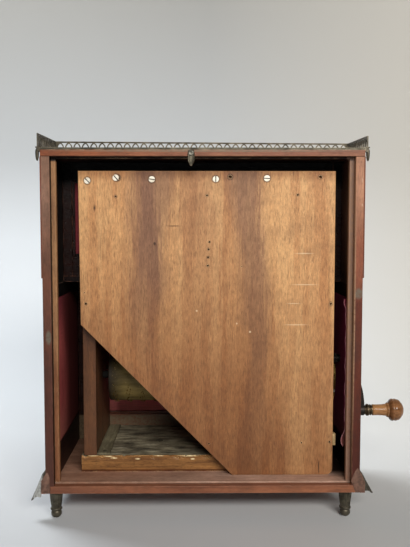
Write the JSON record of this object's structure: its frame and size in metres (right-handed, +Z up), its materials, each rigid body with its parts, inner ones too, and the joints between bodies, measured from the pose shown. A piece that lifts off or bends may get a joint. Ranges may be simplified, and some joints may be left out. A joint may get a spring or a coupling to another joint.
{
  "type": "barrel piano",
  "caption": "Table-top hand-cranked barrel piano in an upright-piano-shaped wooden case with its rear panel off, pinned barrel, string frame and swinging hammers.",
  "frame": {"origin": "middle of the whole object's box, on the surface that it stands on", "axes": "+Z up, +X towards the crank, +Y towards the display front, -Y towards the open back"},
  "size_m": [0.5184, 0.224, 0.5155],
  "materials": {
    "mahogany": "satin",
    "batten": "satin",
    "lining": "matte",
    "bottom": "matte",
    "silk": "matte",
    "bronze": "satin",
    "pine": "matte",
    "beech": "matte",
    "figured": "satin",
    "spruce": "satin",
    "bridge": "matte",
    "barrel": "matte",
    "steel": "satin",
    "wire": "satin",
    "brass": "satin",
    "iron": "satin",
    "grip": "gloss",
    "hammer": "matte"
  },
  "bodies": {
    "case": {"back_board": "figured", "case_bottom": "bottom", "case_left_side": "mahogany", "case_right_side": "mahogany", "case_top": "mahogany", "chassis_floor": "pine", "chassis_left_cheek": "beech", "chassis_right_cheek": "beech", "crank_bush": "brass", "feet": "bronze", "floor_batten": "pine", "floor_lining": "lining", "gallery": "bronze", "gallery_drops": "bronze", "hammer_axle": "steel", "hammer_rail": "pine", "hitch_pins": "steel", "hitch_rail": "beech", "leaf_mounts": "bronze", "ledge_board": "mahogany", "left_side_silk": "silk", "lower_front_frame": "mahogany", "lower_front_silk": "silk", "plinth_moulding": "mahogany", "rear_stop_battens": "batten", "right_side_silk": "silk", "slotted_screws": "steel", "soundboard": "spruce", "string_bridge": "bridge", "strings": "wire", "tuning_pins": "steel", "upper_front_frame": "mahogany", "upper_front_silk": "silk", "upper_side_panels": "mahogany", "wrest_plank": "beech"},
    "crank": {"crank_shaft": "iron", "crank_arm": "iron", "grip_pin": "steel"},
    "grip": {"crank_grip": "grip", "grip_ferrule": "brass"},
    "selector": {"tune_selector": "brass"},
    "barrel_set": {"barrel": "barrel", "barrel_pins": "brass", "barrel_arbor": "steel", "barrel_wheel": "brass"},
    "button": {"turn_button": "bronze"},
    "hammer_01_body": {"hammer_01": "hammer"},
    "hammer_02_body": {"hammer_02": "hammer"},
    "hammer_03_body": {"hammer_03": "hammer"},
    "hammer_04_body": {"hammer_04": "hammer"},
    "hammer_05_body": {"hammer_05": "hammer"},
    "hammer_06_body": {"hammer_06": "hammer"},
    "hammer_07_body": {"hammer_07": "hammer"},
    "hammer_08_body": {"hammer_08": "hammer"},
    "hammer_09_body": {"hammer_09": "hammer"},
    "hammer_10_body": {"hammer_10": "hammer"},
    "hammer_11_body": {"hammer_11": "hammer"},
    "hammer_12_body": {"hammer_12": "hammer"},
    "hammer_13_body": {"hammer_13": "hammer"},
    "hammer_14_body": {"hammer_14": "hammer"}
  },
  "joints": [
    {"name": "tune_shift", "type": "slide", "parent": "case", "child": "selector", "axis": [-1, 0, 0], "range_m": [0, 0.006]},
    {"name": "barrel_turn", "type": "hinge", "parent": "selector", "child": "barrel_set", "pos_m": [-0.02975, 0.01655, 0.172], "axis": [1, 0, 0], "continuous": true},
    {"name": "crank_turn", "type": "hinge", "parent": "case", "child": "crank", "pos_m": [0.18025, -0.0203, 0.20292], "axis": [1, 0, 0], "continuous": true},
    {"name": "grip_spin", "type": "hinge", "parent": "crank", "child": "grip", "pos_m": [0.23025, -0.0203, 0.12692], "axis": [1, 0, 0], "continuous": true},
    {"name": "button_turn", "type": "hinge", "parent": "case", "child": "button", "pos_m": [-0.04505, -0.10965, 0.487], "axis": [0, 1, 0], "range_deg": [-90, 90]},
    {"name": "hammer_01_swing", "type": "hinge", "parent": "case", "child": "hammer_01_body", "pos_m": [-0.1565, 0.01155, 0.25], "axis": [1, 0, 0], "range_deg": [-12, 5], "stiffness_Nm_per_rad": 0.1},
    {"name": "hammer_02_swing", "type": "hinge", "parent": "case", "child": "hammer_02_body", "pos_m": [-0.137, 0.01155, 0.25], "axis": [1, 0, 0], "range_deg": [-12, 5], "stiffness_Nm_per_rad": 0.1},
    {"name": "hammer_03_swing", "type": "hinge", "parent": "case", "child": "hammer_03_body", "pos_m": [-0.1175, 0.01155, 0.25], "axis": [1, 0, 0], "range_deg": [-12, 5], "stiffness_Nm_per_rad": 0.1},
    {"name": "hammer_04_swing", "type": "hinge", "parent": "case", "child": "hammer_04_body", "pos_m": [-0.098, 0.01155, 0.25], "axis": [1, 0, 0], "range_deg": [-12, 5], "stiffness_Nm_per_rad": 0.1},
    {"name": "hammer_05_swing", "type": "hinge", "parent": "case", "child": "hammer_05_body", "pos_m": [-0.0785, 0.01155, 0.25], "axis": [1, 0, 0], "range_deg": [-12, 5], "stiffness_Nm_per_rad": 0.1},
    {"name": "hammer_06_swing", "type": "hinge", "parent": "case", "child": "hammer_06_body", "pos_m": [-0.059, 0.01155, 0.25], "axis": [1, 0, 0], "range_deg": [-12, 5], "stiffness_Nm_per_rad": 0.1},
    {"name": "hammer_07_swing", "type": "hinge", "parent": "case", "child": "hammer_07_body", "pos_m": [-0.0395, 0.01155, 0.25], "axis": [1, 0, 0], "range_deg": [-12, 5], "stiffness_Nm_per_rad": 0.1},
    {"name": "hammer_08_swing", "type": "hinge", "parent": "case", "child": "hammer_08_body", "pos_m": [-0.02, 0.01155, 0.25], "axis": [1, 0, 0], "range_deg": [-12, 5], "stiffness_Nm_per_rad": 0.1},
    {"name": "hammer_09_swing", "type": "hinge", "parent": "case", "child": "hammer_09_body", "pos_m": [-0.0005, 0.01155, 0.25], "axis": [1, 0, 0], "range_deg": [-12, 5], "stiffness_Nm_per_rad": 0.1},
    {"name": "hammer_10_swing", "type": "hinge", "parent": "case", "child": "hammer_10_body", "pos_m": [0.019, 0.01155, 0.25], "axis": [1, 0, 0], "range_deg": [-12, 5], "stiffness_Nm_per_rad": 0.1},
    {"name": "hammer_11_swing", "type": "hinge", "parent": "case", "child": "hammer_11_body", "pos_m": [0.0385, 0.01155, 0.25], "axis": [1, 0, 0], "range_deg": [-12, 5], "stiffness_Nm_per_rad": 0.1},
    {"name": "hammer_12_swing", "type": "hinge", "parent": "case", "child": "hammer_12_body", "pos_m": [0.058, 0.01155, 0.25], "axis": [1, 0, 0], "range_deg": [-12, 5], "stiffness_Nm_per_rad": 0.1},
    {"name": "hammer_13_swing", "type": "hinge", "parent": "case", "child": "hammer_13_body", "pos_m": [0.0775, 0.01155, 0.25], "axis": [1, 0, 0], "range_deg": [-12, 5], "stiffness_Nm_per_rad": 0.1},
    {"name": "hammer_14_swing", "type": "hinge", "parent": "case", "child": "hammer_14_body", "pos_m": [0.097, 0.01155, 0.25], "axis": [1, 0, 0], "range_deg": [-12, 5], "stiffness_Nm_per_rad": 0.1}
  ],
  "couplings": [
    {"joint": "crank_turn", "follows": "barrel_turn", "ratio": -7}
  ]
}
